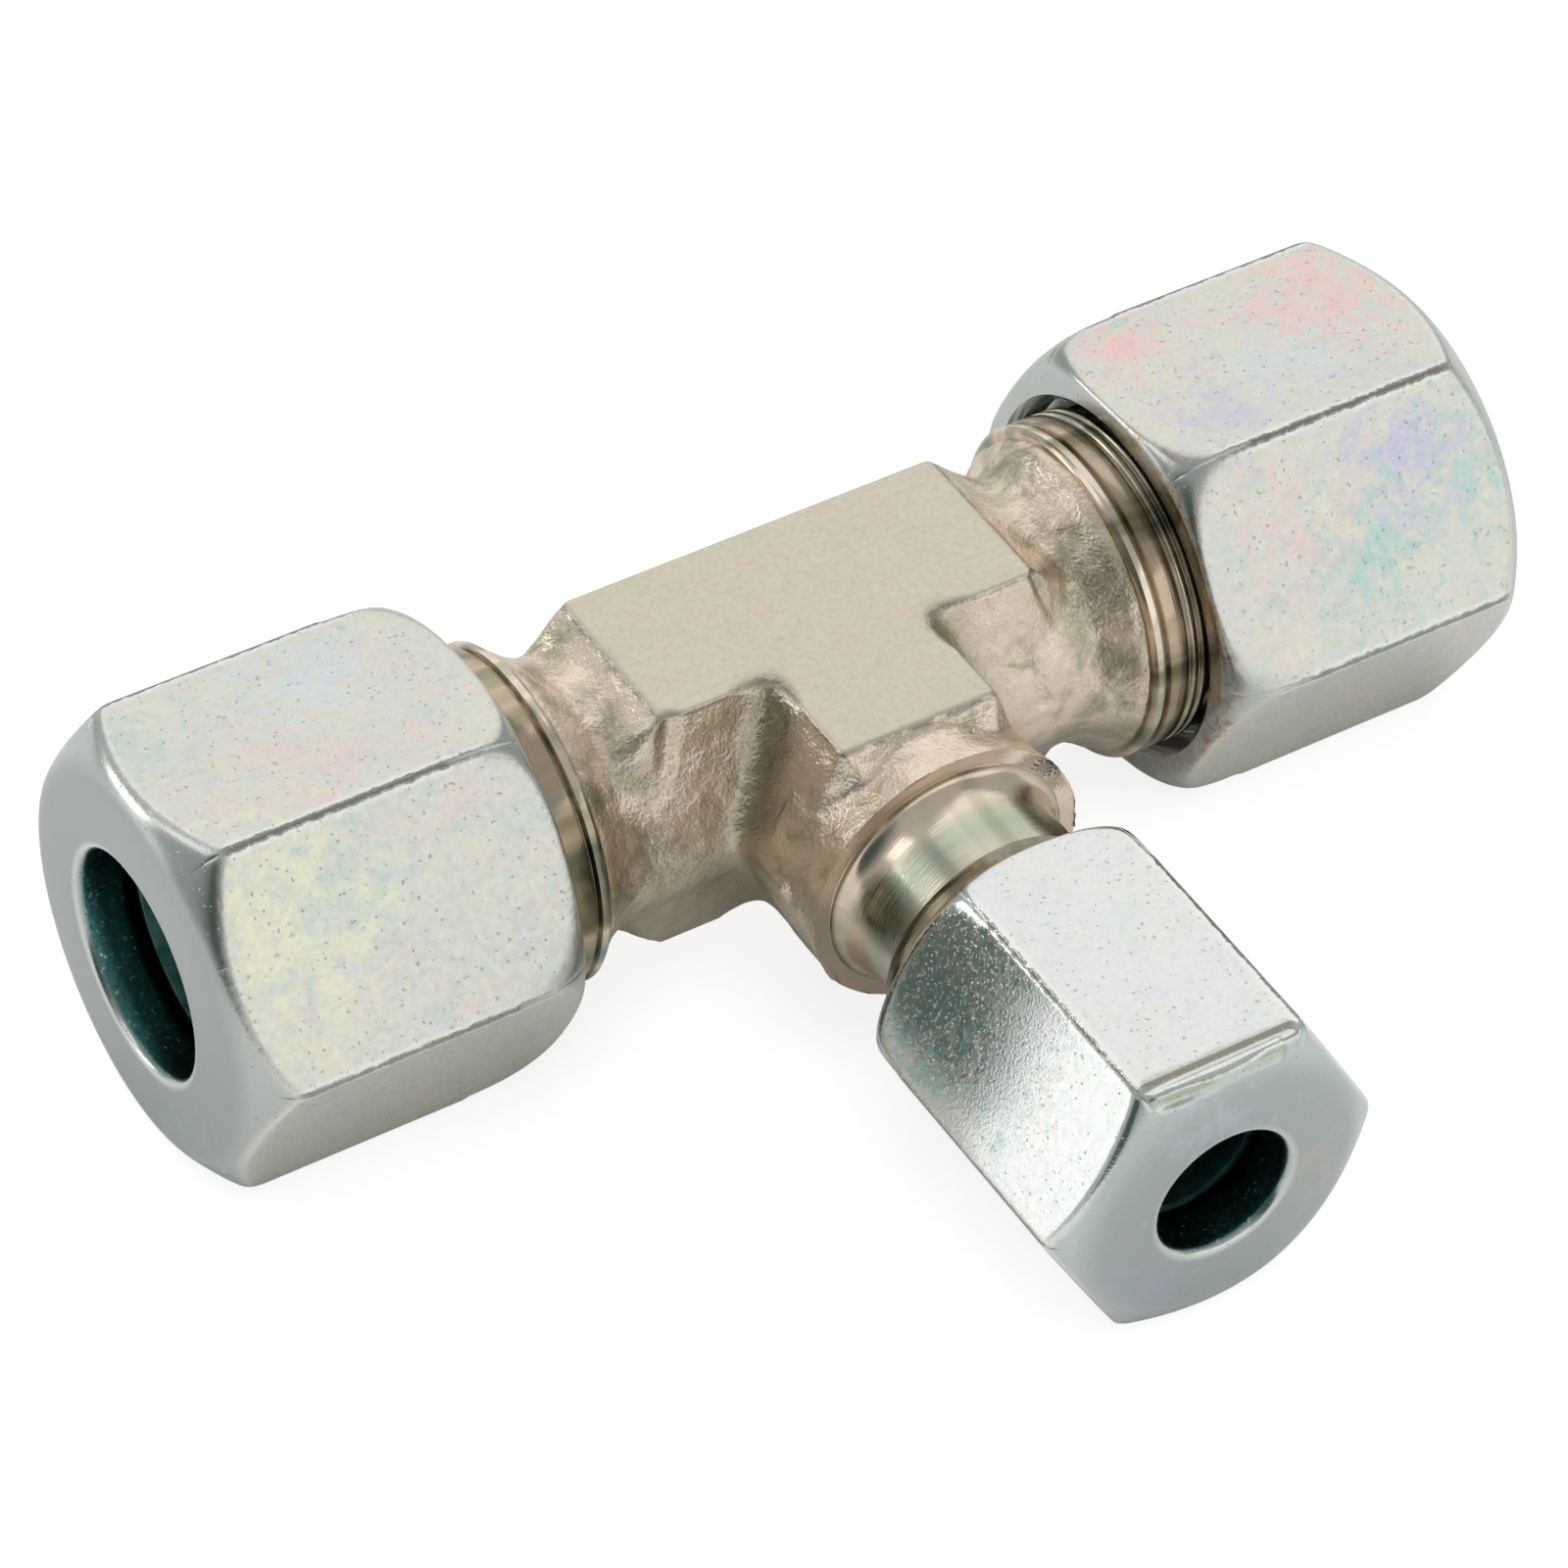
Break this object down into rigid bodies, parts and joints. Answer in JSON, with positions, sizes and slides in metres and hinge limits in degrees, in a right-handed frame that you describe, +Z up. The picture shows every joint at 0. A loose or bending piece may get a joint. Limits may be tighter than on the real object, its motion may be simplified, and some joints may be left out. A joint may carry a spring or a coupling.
{
  "type": "reducing tee tube fitting",
  "caption": "Reducing tee for cutting-ring tube joints: forged body with round stubs, hex union nuts and cutting rings, the branch for a thinner tube than the run.",
  "frame": {"origin": "centre of the outline seen from above, on the surface the tee lies on", "axes": "+X along the run; +Z up; the branch points along -Y and about 4.4 degrees down"},
  "size_m": [0.065, 0.045, 0.019],
  "materials": {
    "forged_zinc": "matte forged steel, zinc plated, warm passivate tint; turned bands polished",
    "bright_zinc": "semi-bright zinc plate with faint iridescent blotches",
    "ring_steel": "satin hardened steel, zinc plated"
  },
  "bodies": {
    "tee": {"tee_body": "forged_zinc"},
    "ring_left": {"cutting_ring_left": "ring_steel"},
    "nut_left": {"union_nut_left": "bright_zinc"},
    "ring_right": {"cutting_ring_right": "ring_steel"},
    "nut_right": {"union_nut_right": "bright_zinc"},
    "ring_branch": {"cutting_ring_branch": "ring_steel"},
    "nut_branch": {"union_nut_branch": "bright_zinc"}
  },
  "joints": [
    {"name": "ring_slide_left", "type": "slide", "parent": "tee", "child": "ring_left", "axis": [-1, 0, 0], "range_m": [0, 0.0037]},
    {"name": "nut_spin_left", "type": "hinge", "parent": "ring_left", "child": "nut_left", "pos_m": [0, 0.01152, 0.0095], "axis": [-1, 0, 0], "range_deg": [0, 890]},
    {"name": "ring_slide_right", "type": "slide", "parent": "tee", "child": "ring_right", "axis": [1, 0, 0], "range_m": [0, 0.0037]},
    {"name": "nut_spin_right", "type": "hinge", "parent": "ring_right", "child": "nut_right", "pos_m": [0, 0.01152, 0.0095], "axis": [1, 0, 0], "range_deg": [0, 890]},
    {"name": "ring_slide_branch", "type": "slide", "parent": "tee", "child": "ring_branch", "axis": [0, -0.9971, -0.0759], "range_m": [0, 0.003]},
    {"name": "nut_spin_branch", "type": "hinge", "parent": "ring_branch", "child": "nut_branch", "pos_m": [0, 0.01152, 0.0095], "axis": [0, -0.9971, -0.0759], "range_deg": [0, 721]}
  ],
  "couplings": [
    {"joint": "nut_spin_left", "follows": "ring_slide_left", "rad_per_m": 4188.8},
    {"joint": "nut_spin_right", "follows": "ring_slide_right", "rad_per_m": 4188.8},
    {"joint": "nut_spin_branch", "follows": "ring_slide_branch", "rad_per_m": 4188.8}
  ]
}
